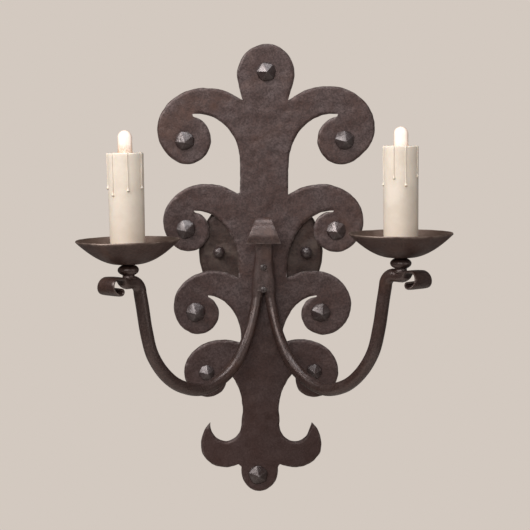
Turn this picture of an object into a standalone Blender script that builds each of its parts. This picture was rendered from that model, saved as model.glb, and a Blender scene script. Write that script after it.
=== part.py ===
"""Two-light wrought-iron wall sconce with electric candles.

Frame: the origin is the centre of the crossbar on the wall plane, which is y = 0.
+Z is up, +X is to the right as seen from the room, and the sconce stands out towards -Y.
All sizes are in metres and all angles in degrees.
"""
import math
from collections import namedtuple

import bmesh
import bpy
from mathutils import Matrix, Vector

# ---- driving dimensions ----------------------------------------------------
GAP = 0.0003                    # clearance between pieces that touch

CANOPY_RADIUS = 0.0635          # 5 in canopy
CANOPY_X = -0.0018              # it hangs a little off centre on its studs
CANOPY_DEPTH = 0.022
CANOPY_WALL = 0.0012
CANOPY_SHOULDER = 0.005
STUD_X = 0.04445                # half of the 3.5 in junction box spacing
STUD_RADIUS = 0.002
BALL_NUT_RADIUS = 0.0061
CROSSBAR_SIZE = (0.110, 0.003, 0.019)
CROSSBAR_SLOT_X = 0.029
CROSSBAR_SLOT = (0.012, 0.0044)

PLATE_THICKNESS = 0.006
PLATE_BACK = -CANOPY_DEPTH - GAP
PLATE_FRONT = PLATE_BACK - PLATE_THICKNESS
PLATE_OFFSET = 0.0005           # centre line of the plate at z = 0
PLATE_LEAN = 0.0154             # sideways drift of the centre line per unit of height

STRAP_BOTTOM = -0.0415
STRAP_TOP_WIDTH = 0.0155
STRAP_BOTTOM_WIDTH = 0.0256
STRAP_CREST_WIDTH = 0.0165       # of the tail where it turns over
STRAP_TAIL_WIDTH = 0.0350
STRAP_DEPTH = 0.0142            # from the plate to the front of the strap
STRAP_WALL = 0.003
STRAP_EDGE = 0.0022             # side walls of the strap
STRAP_SCREW_Z = (-0.0140, -0.0370)
WIRE_HOLE_Z = -0.0255
WIRE_HOLE_RADIUS = 0.0065
SCREW_RADIUS = 0.0016
SCREW_HEAD_RADIUS = 0.0033

ARM_RADIUS = 0.00635            # 1/2 in tube
ARM_ROOT_RADIUS = 0.0053        # drawn slimmer where it enters the strap
ARM_TAPER_REACH = 0.030
ARM_WALL = 0.00175
ARM_ANGLE = 45.0                # plan angle of each arm, away from straight ahead
ARM_ROOT_X = 0.0066
ARM_ROOT_Y = PLATE_FRONT - GAP - ARM_RADIUS
ARM_CENTRE_X = 0.0010
CURL_RADIUS = 0.0077
CURL_HALF_WIDTH = 0.0140
CURL_HALF_THICKNESS = 0.0014
CURL_SPREAD = 0.042             # length over which the flattened end widens

PAN_RADIUS = 0.050
PAN_DEPTH = 0.0225
PAN_WALL = 0.0015
PAN_FLARE = 1.75                # how the dish steepens towards its rim
SLEEVE_SEAT = 0.0031            # the cover stands on the dish, above its underside
BALL_RADIUS = 0.0102
BALL_HEIGHT = 0.0104
SLEEVE_RADIUS = 0.0169
SLEEVE_BORE = 0.0130
SLEEVE_LENGTH = 0.1032          # 4 in candle cover with its cast rim
PIPE_RADIUS = 0.0048            # 1/8 IP threaded pipe
PIPE_BORE = 0.0032
HOLDER_RADIUS = 0.0120
HOLDER_BOTTOM = 0.047
HOLDER_TOP = 0.086
WIRE_RADIUS = 0.0014

Lamp = namedtuple("Lamp", "side reach knee base_z lean bulb_top")
# reach: from the arm's root to the lamp axis; knee: to the upright part of the arm;
# base_z: underside of the drip pan; bulb_top: tip of the glass above it
LAMPS = {
    "left": Lamp(-1, 0.1730, 0.1583, -0.0014, 1.3, 0.1276),
    "right": Lamp(1, 0.1758, 0.1565, 0.0052, 0.3, 0.1246),
}

# The nails: distance from the centre line and height, left and right.
NAILS = {
    "top": (0.0003, 0.1833),
    "upper_left": (-0.0813, 0.1137),
    "upper_right": (0.0809, 0.1142),
    "middle_left": (-0.0789, 0.0235),
    "middle_right": (0.0741, 0.0224),
    "third_left": (-0.0679, -0.0612),
    "third_right": (0.0601, -0.0617),
    "fourth_left": (-0.0557, -0.1239),
    "fourth_right": (0.0544, -0.1224),
    "bottom": (-0.0016, -0.2296),
}
NAIL_RADIUS = 0.0099
SMALL_NAIL_RADIUS = 0.0080      # the fourth pair
NAIL_HEIGHT = 0.0075
NAIL_SHANK = 0.0020

# One scroll of the plate's right half. Angles run from 0 towards the centre line, up and over.
# centre: of its round eye; cusp: where it leaves the scroll above;
# power: how fast it winds in, for the left and the right half;
# outer and tip_radius: of the eye; bulge and right_swell: of its underside;
# gap: the opening below, whose inner edge leaves the tip at gap_start
Scroll = namedtuple(
    "Scroll",
    "centre cusp power outer tip_radius tip_angle bulge right_swell gap gap_axes gap_start")
SCROLLS = {
    "upper": Scroll((0.0811, 0.1140), (0.0232, 0.1547), (1.73, 1.46), 0.0224, 0.0256, 72.0, 0.0023, 0.0011,
                    (0.0693, 0.0918), (0.0443, 0.0490), 84.0),
    "middle": Scroll((0.0785, 0.0235), (0.0246, 0.0586), (2.02, 2.07), 0.0203, 0.0192, 66.0, 0.0042, 0.0041,
                     (0.0700, -0.0170), (0.0455, 0.0595), 88.0),
    "third": Scroll((0.0662, -0.0610), (0.0245, -0.0265), (2.04, 1.95), 0.0220, 0.0184, 54.0, 0.0030, 0.0041,
                    (0.0580, -0.0900), (0.0370, 0.0460), 94.0),
    "fourth": Scroll((0.0545, -0.1235), (0.0200, -0.0938), (3.80, 3.45), 0.0243, 0.0150, 12.0, 0.0050, 0.0,
                     (0.0470, -0.1640), (0.0285, 0.0455), 104.0),
}
SPIRAL_END = 225.0              # where the outer spiral becomes the round eye
HOOK_REACH = (0.0254, 0.0276)   # of the bottom hooks, left and right


# ---- scene and mesh helpers ------------------------------------------------
def clear_scene():
    for obj in list(bpy.data.objects):
        bpy.data.objects.remove(obj, do_unlink=True)


def make_material(name, colour, roughness, metallic):
    mat = bpy.data.materials.new(name)
    mat.use_nodes = True
    shader = mat.node_tree.nodes["Principled BSDF"]
    shader.inputs["Base Color"].default_value = (*colour, 1.0)
    shader.inputs["Roughness"].default_value = roughness
    shader.inputs["Metallic"].default_value = metallic
    mat.diffuse_color = (*colour, 1.0)
    return mat


def add_object(name, bm, mat, place=None):
    """Turn a bmesh into a named object, with its normals out and its round faces smooth."""
    bmesh.ops.recalc_face_normals(bm, faces=bm.faces)
    mesh = bpy.data.meshes.new(name)
    bm.to_mesh(mesh)
    bm.free()
    mesh.materials.append(mat)
    mesh.shade_smooth()
    mesh.set_sharp_from_angle(angle=math.radians(35.0))
    obj = bpy.data.objects.new(name, mesh)
    bpy.context.scene.collection.objects.link(obj)
    if place is not None:
        obj.matrix_world = place
    return obj


def boolean(target, cutter, operation="DIFFERENCE"):
    """Leave a Boolean on the target and keep its cutter out of the render."""
    mod = target.modifiers.new(operation.lower(), "BOOLEAN")
    mod.operation = operation
    mod.solver = "EXACT"
    mod.object = cutter
    cutter.hide_render = True
    cutter.display_type = "WIRE"


def lathe(profile, segments, place=None):
    """Turn a profile of (radius, height) about Z; points on the axis become single vertices."""
    bm = bmesh.new()
    rings = []
    for radius, height in profile:
        if radius < 1e-7:
            rings.append([bm.verts.new((0.0, 0.0, height))])
            continue
        ring = []
        for i in range(segments):
            angle = 2.0 * math.pi * i / segments
            ring.append(bm.verts.new((radius * math.cos(angle), radius * math.sin(angle), height)))
        rings.append(ring)
    closed = profile[0][0] > 1e-7
    pairs = list(zip(rings, rings[1:]))
    if closed:
        pairs.append((rings[-1], rings[0]))
    for lower, upper in pairs:
        for i in range(segments):
            j = (i + 1) % segments
            corners = [lower[i % len(lower)], lower[j % len(lower)],
                       upper[j % len(upper)], upper[i % len(upper)]]
            face = list(dict.fromkeys(corners))
            if len(face) > 2:
                bm.faces.new(face)
    if place is not None:
        bmesh.ops.transform(bm, matrix=place, verts=bm.verts)
    return bm


def facing_room(x, y, z):
    """Placement of a turned piece whose axis runs from the wall towards the room."""
    return Matrix.Translation((x, y, z)) @ Matrix.Rotation(math.radians(90.0), 4, "X")


def rod(radius, length, segments, place):
    """A round bar from its placement's origin along its local Z."""
    return lathe([(0.0, 0.0), (radius, 0.0), (radius, length), (0.0, length)], segments, place)


def drill(radius, x, start, depth, z, segments=10):
    """A round cutter that runs from y = start towards the room."""
    return rod(radius, depth, segments, facing_room(x, start, z))


def hex_nut(bore, corner, low, height, place):
    """A hexagonal nut with a round bore, across local Z from low to low + height."""
    high = low + height
    bm = lathe([(bore, low), (corner, low), (corner, high), (bore, high)], 12)
    for vert in bm.verts:
        if vert.co.xy.length > (bore + corner) / 2:
            angle = math.degrees(math.atan2(vert.co.y, vert.co.x)) % 60.0 - 30.0
            vert.co.xy *= math.cos(math.radians(30.0)) / math.cos(math.radians(angle))
    bmesh.ops.transform(bm, matrix=place, verts=bm.verts)
    return bm


def box(low, high):
    bm = bmesh.new()
    bmesh.ops.create_cube(bm, size=1.0)
    size = Vector(high) - Vector(low)
    middle = (Vector(high) + Vector(low)) / 2.0
    bmesh.ops.transform(bm, matrix=Matrix.Translation(middle) @ Matrix.Diagonal((*size, 1.0)),
                        verts=bm.verts)
    return bm


def merge(parts):
    """Several bmeshes as the separate shells of one."""
    whole = bmesh.new()
    for part in parts:
        scratch = bpy.data.meshes.new("scratch")
        part.to_mesh(scratch)
        part.free()
        whole.from_mesh(scratch)
        bpy.data.meshes.remove(scratch)
    return whole


def loft(sections):
    """Join closed rings of points, all of one length, and cap both ends."""
    bm = bmesh.new()
    rings = [[bm.verts.new(point) for point in section] for section in sections]
    count = len(rings[0])
    for lower, upper in zip(rings, rings[1:]):
        for i in range(count):
            j = (i + 1) % count
            bm.faces.new((lower[i], lower[j], upper[j], upper[i]))
    bm.faces.new(rings[0])
    bm.faces.new(list(reversed(rings[-1])))
    return bm


# ---- plane curves ----------------------------------------------------------
def ellipse_arc(centre, axes, start, end, count):
    points = []
    for i in range(count + 1):
        angle = math.radians(start + (end - start) * i / count)
        points.append((centre[0] + axes[0] * math.cos(angle), centre[1] + axes[1] * math.sin(angle)))
    return points


def smooth_curve(points, steps):
    """A Catmull-Rom curve through the points, with the same number of steps in every span."""
    ends = [2 * points[0] - points[1]] + points + [2 * points[-1] - points[-2]]
    curve = []
    for p0, p1, p2, p3 in zip(ends, ends[1:], ends[2:], ends[3:]):
        for i in range(steps):
            t = i / steps
            curve.append(0.5 * (2 * p1 + (p2 - p0) * t + (2 * p0 - 5 * p1 + 4 * p2 - p3) * t * t
                                + (3 * p1 - 3 * p2 + p3 - p0) * t ** 3))
    curve.append(points[-1])
    return curve


# ---- the pierced backplate -------------------------------------------------
def scroll_outline(scroll, right, spiral_steps=13, eye_steps=12, gap_steps=8):
    """Edge of one scroll, from its cusp over the top, round the eye and back to the neck."""
    swell = scroll.right_swell if right else 0.0
    power = scroll.power[int(right)]
    cu, cz = scroll.centre
    du, dz = cu - scroll.cusp[0], scroll.cusp[1] - cz
    start, reach = math.degrees(math.atan2(dz, du)), math.hypot(du, dz)
    points = []
    for i in range(spiral_steps):
        t = i / spiral_steps
        radius = scroll.outer + (reach - scroll.outer) * (1.0 - t) ** power
        angle = math.radians(start + (SPIRAL_END - start) * t)
        points.append((cu - radius * math.cos(angle), cz + radius * math.sin(angle)))
    for i in range(eye_steps + 1):
        t = i / eye_steps
        ease = 1.05 * t * t / (t + 0.05)
        radius = scroll.outer + (scroll.tip_radius - scroll.outer) * ease
        radius += scroll.bulge * math.sin(math.pi * ease) + swell * math.sin(math.pi * ease * ease)
        angle = math.radians(SPIRAL_END + (360.0 + scroll.tip_angle - SPIRAL_END) * t)
        points.append((cu - radius * math.cos(angle), cz + radius * math.sin(angle)))
    return points + ellipse_arc(scroll.gap, scroll.gap_axes, scroll.gap_start, 180.0, gap_steps)


def half_outline(right):
    """One half of the plate from its top to its bottom, as (distance from centre, height)."""
    edge = ellipse_arc((0.0, 0.1805), (0.0290, 0.0308), 90.0, -18.0, 11)
    for name in ("upper", "middle", "third", "fourth"):
        edge += scroll_outline(SCROLLS[name], right)
    reach = HOOK_REACH[int(right)]
    edge += ellipse_arc((0.0355, -0.1762), (0.0162, 0.0193), 172.0, 350.0, 11)
    edge += ellipse_arc((0.0355, -0.1990), (reach, 0.0300), 51.0, 10.0, 4)
    edge += ellipse_arc((0.0355, -0.1990), (reach, 0.0231), 0.0, -122.0, 9)
    edge += ellipse_arc((0.0, -0.2245), (0.0190, 0.0222), 8.0, -90.0, 8)
    return edge


def centre_line(z):
    return PLATE_OFFSET + PLATE_LEAN * z


def full_outline():
    right = half_outline(True)
    left = [(-u, z) for u, z in reversed(half_outline(False)[1:-1])]
    return [(centre_line(z) + u, z) for u, z in right + left]


def make_backplate(mat):
    bm = bmesh.new()
    verts = [bm.verts.new((x, PLATE_FRONT, z)) for x, z in full_outline()]
    face = bm.faces.new(verts)
    extruded = bmesh.ops.extrude_face_region(bm, geom=[face])
    moved = [item for item in extruded["geom"] if isinstance(item, bmesh.types.BMVert)]
    bmesh.ops.translate(bm, vec=(0.0, PLATE_THICKNESS, 0.0), verts=moved)
    plate = add_object("backplate", bm, mat)

    start, depth = PLATE_BACK + 0.002, PLATE_THICKNESS + 0.004
    holes = [drill(NAIL_SHANK + GAP, centre_line(z) + u, start, depth, z) for u, z in NAILS.values()]
    holes += [drill(SCREW_RADIUS + GAP, ARM_CENTRE_X, start, depth, z) for z in STRAP_SCREW_Z]
    holes.append(drill(WIRE_HOLE_RADIUS, ARM_CENTRE_X, start, depth, WIRE_HOLE_Z, 16))
    boolean(plate, add_object("cutter_backplate", merge(holes), mat))


def make_nails(mat):
    """Pyramid-headed nails, each one riveted over behind the plate."""
    tail_radius, tail_height = 0.0036, 0.0012
    for name, (u, z) in NAILS.items():
        radius = SMALL_NAIL_RADIUS if name.startswith("fourth") else NAIL_RADIUS
        height = NAIL_HEIGHT * radius / NAIL_RADIUS
        shank_end = -PLATE_THICKNESS - 2 * GAP
        profile = [
            (0.0, shank_end - tail_height),
            (tail_radius * 0.7, shank_end - tail_height),
            (tail_radius, shank_end),
            (NAIL_SHANK, shank_end),
            (NAIL_SHANK, 0.0),
            (radius * 0.92, 0.0),
            (radius, height * 0.22),
            (radius * 0.26, height),
            (0.0, height),
        ]
        place = facing_room(centre_line(z) + u, PLATE_FRONT - GAP, z)
        add_object("nail_" + name, lathe(profile, 8, place), mat)


# ---- canopy and wall fixings -----------------------------------------------
def make_canopy(mat):
    """A round pressed pan, open to the wall."""
    outer, wall = CANOPY_RADIUS, CANOPY_WALL
    shoulder = ellipse_arc((outer - CANOPY_SHOULDER, CANOPY_DEPTH - CANOPY_SHOULDER),
                           (CANOPY_SHOULDER, CANOPY_SHOULDER), 0.0, 90.0, 3)
    inner_round = CANOPY_SHOULDER - wall
    inside = ellipse_arc((outer - CANOPY_SHOULDER, CANOPY_DEPTH - CANOPY_SHOULDER),
                         (inner_round, inner_round), 90.0, 0.0, 3)
    profile = [(0.0, CANOPY_DEPTH - wall)] + inside + [(outer - wall, 0.0), (outer, 0.0)]
    profile += shoulder + [(0.0, CANOPY_DEPTH)]
    canopy = add_object("canopy", lathe(profile, 36, facing_room(CANOPY_X, 0.0, 0.0)), mat)

    start, depth = -CANOPY_DEPTH + 0.005, 0.010
    holes = [drill(STUD_RADIUS + GAP, side * STUD_X, start, depth, 0.0, 12) for side in (-1, 1)]
    holes += [drill(SCREW_RADIUS + GAP, ARM_CENTRE_X, start, depth, z) for z in STRAP_SCREW_Z]
    holes.append(drill(WIRE_HOLE_RADIUS, ARM_CENTRE_X, start, depth, WIRE_HOLE_Z, 16))
    boolean(canopy, add_object("cutter_canopy", merge(holes), mat))


def make_wall_fixings(steel, iron):
    """Crossbar on the wall plane, the two studs in it and the round nuts on the canopy."""
    length, thickness, width = CROSSBAR_SIZE
    bar = box((-length / 2, -thickness, -width / 2), (length / 2, 0.0, width / 2))
    crossbar = add_object("crossbar", bar, steel)
    cuts = []
    for side in (-1, 1):
        cuts.append(drill(STUD_RADIUS + GAP, side * STUD_X, 0.004, 0.010, 0.0, 12))
        x, slot, height = side * CROSSBAR_SLOT_X, CROSSBAR_SLOT[0] / 2, CROSSBAR_SLOT[1] / 2
        cuts.append(box((x - slot, -0.010, -height), (x + slot, 0.010, height)))
    boolean(crossbar, add_object("cutter_crossbar", merge(cuts), steel))

    stud_length = CANOPY_DEPTH + 0.0075
    nut_flat = BALL_NUT_RADIUS * math.cos(math.radians(30.0))
    hole_top = stud_length - CANOPY_DEPTH + 0.0005
    outside = ellipse_arc((0.0, nut_flat), (BALL_NUT_RADIUS, BALL_NUT_RADIUS), -60.0, 90.0, 7)
    profile = [(0.0, hole_top), (STUD_RADIUS + GAP, hole_top), (STUD_RADIUS + GAP, 0.0)]
    profile += outside
    for name, side in (("left", -1), ("right", 1)):
        place = facing_room(side * STUD_X, -GAP, 0.0)
        add_object(name + "_stud", rod(STUD_RADIUS, stud_length, 12, place), steel)
        place = facing_room(side * STUD_X, -CANOPY_DEPTH - GAP, 0.0)
        add_object(name + "_ball_nut", lathe(profile, 16, place), iron)


# ---- central strap ---------------------------------------------------------
def strap_half_width(z):
    """The strap widens downwards to cover both arm ends."""
    share = min(1.0, max(0.0, (0.010 - z) / (0.010 - STRAP_BOTTOM)))
    return (STRAP_TOP_WIDTH + (STRAP_BOTTOM_WIDTH - STRAP_TOP_WIDTH) * share) / 2


def strap_block(inset, fore, rear, heights):
    """A tapering block between two heights, set in from the edges of the strap."""
    sections = []
    for z in heights:
        width = strap_half_width(z) - inset
        corners = ((-width, fore), (width, fore), (width, rear), (-width, rear))
        sections.append([(ARM_CENTRE_X + x, y, z) for x, y in corners])
    return loft(sections)


def make_strap(mat):
    """A forged strap with side walls back to the plate and a flared end curled forward."""
    front = PLATE_FRONT - STRAP_DEPTH
    mid = front + STRAP_WALL / 2
    half = STRAP_WALL / 2
    curl, crest, lip = Vector((mid - 0.0085, 0.0240)), 0.0355, 0.0115
    path = [Vector((mid, z)) for z in (STRAP_BOTTOM, -0.020, 0.0, 0.012)]
    path += [Vector(point) for point in ellipse_arc(curl, (0.0085, crest - curl.y), 0.0, 140.0, 8)]
    path += [Vector((mid - y, z)) for y, z in ((0.0196, 0.0262), (0.0220, 0.0192), (0.0222, lip))]
    sections = []
    for i, point in enumerate(path):
        before, after = path[max(i - 1, 0)], path[min(i + 1, len(path) - 1)]
        along = (after - before).normalized()
        normal = Vector((-along.y, along.x))
        if point.x < curl.x:
            share = (crest - point.y) / (crest - lip)
            width = (STRAP_CREST_WIDTH + (STRAP_TAIL_WIDTH - STRAP_CREST_WIDTH) * share) / 2
        else:
            width = strap_half_width(point.y)
        back, fore = point - normal * half, point + normal * half
        sections.append([
            (ARM_CENTRE_X - width, back.x, back.y),
            (ARM_CENTRE_X + width, back.x, back.y),
            (ARM_CENTRE_X + width, fore.x, fore.y),
            (ARM_CENTRE_X - width, fore.x, fore.y),
        ])
    strap = add_object("stem_strap", loft(sections), mat)

    rear = PLATE_FRONT - GAP
    block = strap_block(0.0, mid, rear, (STRAP_BOTTOM, 0.016))
    boolean(strap, add_object("cutter_strap_block", block, mat), "UNION")
    hollow = strap_block(STRAP_EDGE, front + STRAP_WALL, rear + 0.010, (STRAP_BOTTOM - 0.010, -0.006))
    boolean(strap, add_object("cutter_strap_hollow", hollow, mat))
    holes = [drill(SCREW_RADIUS + GAP, ARM_CENTRE_X, rear + 0.005, 0.030, z) for z in STRAP_SCREW_Z]
    boolean(strap, add_object("cutter_strap_holes", merge(holes), mat))


def make_strap_screws(iron, steel):
    """Round-head screws through strap, plate and canopy, with a nut inside the canopy."""
    head_base = -(PLATE_FRONT - STRAP_DEPTH) + GAP
    tail = CANOPY_DEPTH - CANOPY_WALL - 0.0045
    for name, z in zip(("upper", "lower"), STRAP_SCREW_Z):
        profile = [(0.0, tail), (SCREW_RADIUS, tail), (SCREW_RADIUS, head_base)]
        profile += ellipse_arc((0.0, head_base), (SCREW_HEAD_RADIUS, 0.0021), 0.0, 90.0, 4)
        place = facing_room(ARM_CENTRE_X, 0.0, z)
        screw = add_object("strap_screw_" + name, lathe(profile, 16, place), iron)
        slot = box((ARM_CENTRE_X - 0.0004, -head_base - 0.004, z - 0.005),
                   (ARM_CENTRE_X + 0.0004, -head_base - 0.0013, z + 0.005))
        boolean(screw, add_object("cutter_screw_slot_" + name, slot, iron))
        nut_front = CANOPY_DEPTH - CANOPY_WALL - GAP
        nut = hex_nut(SCREW_RADIUS + GAP, 0.0038, nut_front - 0.0026, 0.0026, place)
        add_object("strap_nut_" + name, nut, steel)


# ---- arms ------------------------------------------------------------------
def arm_axes(lamp):
    """Root of the arm and its horizontal direction away from the plate."""
    angle = math.radians(ARM_ANGLE)
    root = Vector((ARM_CENTRE_X + lamp.side * ARM_ROOT_X, ARM_ROOT_Y, 0.0))
    return root, Vector((lamp.side * math.sin(angle), -math.cos(angle), 0.0))


def tube_height(lamp):
    """Centre height of the horizontal stretch under the lamp."""
    return lamp.base_z - BALL_HEIGHT - 2 * GAP - ARM_RADIUS


def arm_route(lamp):
    """Centre line of the round stretch in the arm's own plane, as (reach, height)."""
    top = tube_height(lamp)
    low = -0.1318
    rise = (top - low) / 0.1165
    knee, bend = lamp.knee, 0.0110
    waypoints = [
        (0.0, STRAP_BOTTOM - 2 * GAP), (0.0010, -0.0490), (0.0064, -0.0680), (0.0148, -0.0880),
        (0.0283, -0.1080), (0.0494, -0.1235), (0.0760, low), (knee - 0.0535, -0.1262),
        (knee - 0.0320, low + 0.0200 * rise), (knee - 0.0158, low + 0.0412 * rise),
        (knee - 0.0080, low + 0.0652 * rise), (knee - 0.0032, low + 0.0900 * rise),
        (knee, top - bend),
    ]
    route = smooth_curve([Vector(point) for point in waypoints], 3)
    corner = ellipse_arc((knee + bend, top - bend), (bend, bend), 180.0, 90.0, 5)[1:]
    return route + [Vector(point) for point in corner]


def tube_radius(reach):
    share = min(1.0, max(0.0, reach / ARM_TAPER_REACH))
    return ARM_ROOT_RADIUS + (ARM_RADIUS - ARM_ROOT_RADIUS) * share


def arm_curl(lamp):
    """Centre line of the flattened end: out past the lamp, round and under, then rolled up."""
    top = tube_height(lamp)
    centre = (lamp.reach + 0.0203, top + ARM_RADIUS - CURL_HALF_THICKNESS - CURL_RADIUS)
    flat = [(lamp.reach + 0.0040, top), (lamp.reach + 0.0075, top + 0.0020),
            (lamp.reach + 0.0115, top + 0.0044)]
    round_end = ellipse_arc(centre, (CURL_RADIUS, CURL_RADIUS), 90.0, -88.0, 8)
    tip_radius = 0.0030
    tip_centre = (centre[0], centre[1] - CURL_RADIUS + tip_radius)
    tip = ellipse_arc(tip_centre, (tip_radius, tip_radius), -125.0, -235.0, 3)
    return [Vector(point) for point in flat + round_end + tip]


def arm_section(lamp, centre, along, half_width, half_thickness, count=12):
    """A ring round the route: an oval whose long axis is square to the arm's plane."""
    root, out = arm_axes(lamp)
    across = Vector((-out.y, out.x, 0.0))
    normal = -along.y * out + Vector((0.0, 0.0, along.x))
    middle = root + out * centre.x + Vector((0.0, 0.0, centre.y))
    ring = []
    for i in range(count):
        angle = 2.0 * math.pi * i / count
        ring.append(middle + across * (half_width * math.cos(angle))
                    + normal * (half_thickness * math.sin(angle)))
    return ring


def directions(route):
    result = []
    for i in range(len(route)):
        result.append((route[min(i + 1, len(route) - 1)] - route[max(i - 1, 0)]).normalized())
    return result


def make_arm(name, lamp, mat):
    round_part, curl = arm_route(lamp), arm_curl(lamp)
    route = round_part + curl
    past = 0.0
    sections = []
    for i, (point, along) in enumerate(zip(route, directions(route))):
        if i > len(round_part):
            past += (point - route[i - 1]).length
        tube = tube_radius(point.x)
        width = tube + (CURL_HALF_WIDTH - ARM_RADIUS) * min(1.0, past / CURL_SPREAD) ** 1.3
        if i <= len(round_part):
            thickness = tube
        elif i == len(round_part) + 1:
            thickness = 0.0036
        else:
            thickness = CURL_HALF_THICKNESS
        sections.append(arm_section(lamp, point, along, width, thickness))
    arm = add_object(name + "_arm", loft(sections), mat)

    bore = [route[0] + Vector((0.0, 0.004))] + round_part[1:]
    bore.append(Vector((lamp.reach + 0.0015, tube_height(lamp))))
    rings = []
    for point, along in zip(bore, directions(bore)):
        radius = tube_radius(point.x) - ARM_WALL
        rings.append(arm_section(lamp, point, along, radius, radius, 8))
    boolean(arm, add_object("cutter_bore_" + name, loft(rings), mat))
    entry = rod(PIPE_RADIUS + GAP, 0.012, 16, lamp_frame(lamp) @ Matrix.Translation((0.0, 0.0, -0.0172)))
    boolean(arm, add_object("cutter_entry_" + name, entry, mat))


# ---- the lamps -------------------------------------------------------------
def lamp_frame(lamp):
    """Lamp axis: its origin is the underside of the drip pan, and it leans a little."""
    root, out = arm_axes(lamp)
    base = root + out * lamp.reach + Vector((0.0, 0.0, lamp.base_z))
    return Matrix.Translation(base) @ Matrix.Rotation(math.radians(-lamp.lean), 4, "Y")


def pan_profile():
    """A shallow dish: a flat seat, then a rounded flank up to a thin rim."""
    seat, hole = 0.0105, PIPE_RADIUS + GAP
    under = [(hole, 0.0), (seat, 0.0)]
    for i in range(1, 7):
        t = i / 6
        under.append((seat + (PAN_RADIUS - seat) * t, PAN_DEPTH * t ** PAN_FLARE))
    over = [(radius - 0.0006 * (i > 1), height + PAN_WALL) for i, (radius, height) in enumerate(under)]
    over[-1] = (PAN_RADIUS - 0.0012, PAN_DEPTH + 0.0006)
    return under + over[::-1]


def make_lamp(name, lamp, mats):
    """Everything on one lamp axis, from the spacer ball up to the bulb."""
    place = lamp_frame(lamp)
    iron, steel, brass = mats["iron"], mats["steel"], mats["brass"]

    def turned(piece, profile, segments, mat):
        return add_object(name + "_" + piece, lathe(profile, segments, place), mat)

    hole = PIPE_RADIUS + GAP
    half = BALL_HEIGHT / 2
    ball = ellipse_arc((0.0, -half - GAP), (BALL_RADIUS, half * 1.12), -62.0, 62.0, 6)
    ball = [(radius, min(-GAP, max(-BALL_HEIGHT - GAP, height))) for radius, height in ball]
    turned("spacer_ball", [(hole, -BALL_HEIGHT - GAP)] + ball + [(hole, -GAP)], 18, iron)
    turned("drip_pan", pan_profile(), 32, iron)

    pipe_bottom, pipe_top = -0.0130, HOLDER_BOTTOM + 0.007
    pipe = [(PIPE_BORE, pipe_bottom), (PIPE_RADIUS, pipe_bottom),
            (PIPE_RADIUS, pipe_top), (PIPE_BORE, pipe_top)]
    turned("threaded_pipe", pipe, 16, steel)
    nut_low = PAN_WALL + GAP
    add_object(name + "_lock_nut", hex_nut(hole, 0.0084, nut_low, 0.0035, place), steel)

    seat = HOLDER_BOTTOM + 0.0075
    holder = [
        (hole, HOLDER_BOTTOM), (HOLDER_RADIUS - 0.001, HOLDER_BOTTOM),
        (HOLDER_RADIUS, HOLDER_BOTTOM + 0.001),
        (HOLDER_RADIUS, HOLDER_TOP), (0.0085, HOLDER_TOP), (0.0085, seat + 0.0030),
        (0.0022, seat + 0.0030), (0.0022, seat), (hole, seat),
    ]
    turned("lampholder", holder, 18, mats["phenolic"])
    shell_low, shell_high, shell_wall = seat + 0.0065, HOLDER_TOP - 0.0005, 0.0005
    shell = [
        (0.0042, shell_low), (0.0080, shell_low), (0.0080, shell_high), (0.0075, shell_high),
        (0.0075, shell_low + shell_wall), (0.0042, shell_low + shell_wall),
    ]
    turned("socket_shell", shell, 16, brass)
    contact_low = seat + 0.0030 + GAP
    contact = [(0.0, contact_low), (0.0032, contact_low), (0.0032, contact_low + 0.0006),
               (0.0012, contact_low + 0.0030), (0.0, contact_low + 0.0030)]
    turned("centre_contact", contact, 12, brass)

    outer, low, high = SLEEVE_RADIUS - 0.0004, SLEEVE_SEAT, SLEEVE_SEAT + SLEEVE_LENGTH
    sleeve = [(SLEEVE_BORE, low), (outer, low), (outer, high - 0.0012), (outer - 0.0010, high),
              (SLEEVE_BORE, high)]
    turned("candle_sleeve", sleeve, 28, mats["wax"])

    cap_low, cap_high = contact_low + 0.0034, 0.0815
    cap = [(0.0, cap_low), (0.0024, cap_low), (0.0036, cap_low + 0.0022), (0.0059, cap_low + 0.0040),
           (0.0059, cap_high), (0.0054, cap_high), (0.0054, cap_low + 0.0048), (0.0, cap_low + 0.0048)]
    turned("bulb_cap", cap, 16, brass)
    make_bulb(name, lamp.bulb_top, cap_high, place, mats)


def bulb_radius(t):
    """Outside of the glass from its neck, t = 0, to its tip, t = 1: a slim torpedo."""
    neck, belly, shoulder = 0.0049, 0.0090, 0.0070
    if t < 0.12:
        return neck
    if t < 0.40:
        return neck + (belly - neck) * (0.5 - 0.5 * math.cos(math.pi * (t - 0.12) / 0.28))
    if t < 0.66:
        return shoulder + (belly - shoulder) * (0.5 + 0.5 * math.cos(math.pi * (t - 0.40) / 0.26))
    if t < 0.86:
        return shoulder
    return shoulder * math.sqrt(1.0 - ((t - 0.86) / 0.14) ** 2)


def make_bulb(name, top, cap_high, place, mats):
    neck_low, wall = cap_high - 0.0060, 0.0005
    height = top - neck_low
    outer = [(bulb_radius(i / 13), neck_low + height * i / 13) for i in range(13)] + [(0.0, top)]
    inner = [(radius - wall, z) for radius, z in outer[:-1]] + [(0.0, top - wall * 1.6)]
    add_object(name + "_bulb_glass", lathe(inner[::-1] + outer, 14, place), mats["glass"])

    stem = [(0.0, neck_low + 0.0005), (0.0036, neck_low + 0.0005), (0.0028, neck_low + 0.0080),
            (0.0012, neck_low + 0.0120), (0.0009, neck_low + 0.0240), (0.0024, neck_low + 0.0270),
            (0.0026, neck_low + 0.0340), (0.0, neck_low + 0.0365)]
    add_object(name + "_filament", lathe(stem, 10, place), mats["filament"])


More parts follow.
